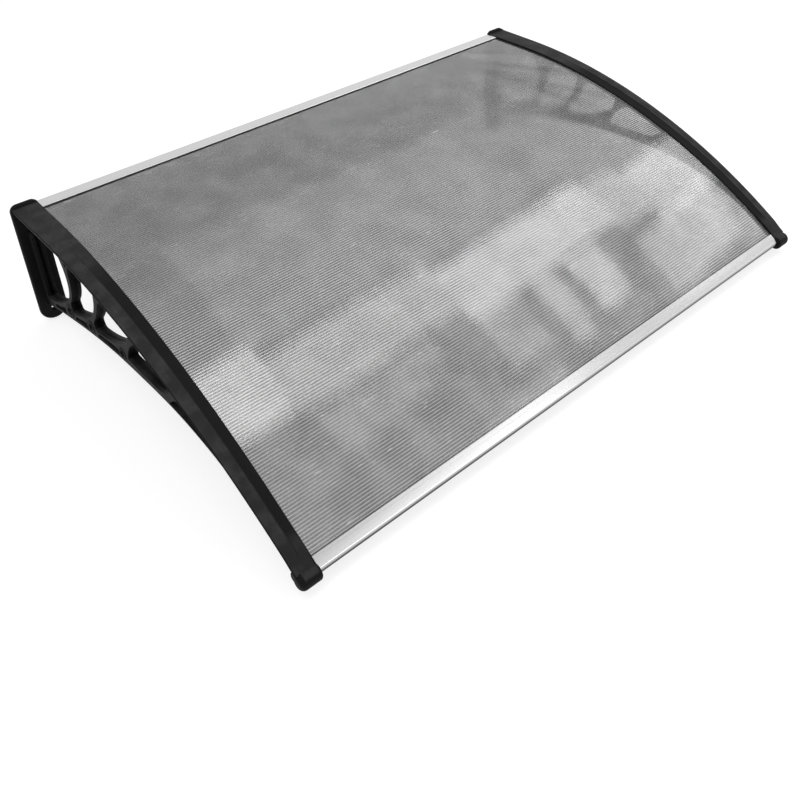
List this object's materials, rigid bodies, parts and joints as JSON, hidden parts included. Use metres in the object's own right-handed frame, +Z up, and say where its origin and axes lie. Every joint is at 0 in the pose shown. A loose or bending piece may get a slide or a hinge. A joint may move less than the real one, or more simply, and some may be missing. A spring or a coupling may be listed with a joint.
{
  "type": "door canopy",
  "caption": "Bow-shaped door canopy: two openwork side brackets hold a curved hollow sheet with metal edge profiles.",
  "frame": {"origin": "middle of the wall line at the level of the rails' flat top, on the plane of the wall plates' backs", "axes": "+X across the width, +Y into the wall so that the canopy projects to -Y, +Z up"},
  "size_m": [1.2, 0.8, 0.245],
  "materials": {
    "bracket_plastic": "satin black, moulded",
    "smoked_sheet": "translucent smoke grey, ribbed inside",
    "anodised_aluminium": "satin anodised",
    "gasket_rubber": "matt black",
    "screw_steel": "zinc plated"
  },
  "bodies": {
    "root": {"left_bracket": "bracket_plastic", "right_bracket": "bracket_plastic", "canopy_sheet": "smoked_sheet", "rear_profile": "anodised_aluminium", "front_profile": "anodised_aluminium", "rear_gasket": "gasket_rubber", "rear_left_screw": "screw_steel", "rear_right_screw": "screw_steel", "front_left_screw": "screw_steel", "front_right_screw": "screw_steel"}
  },
  "joints": []
}
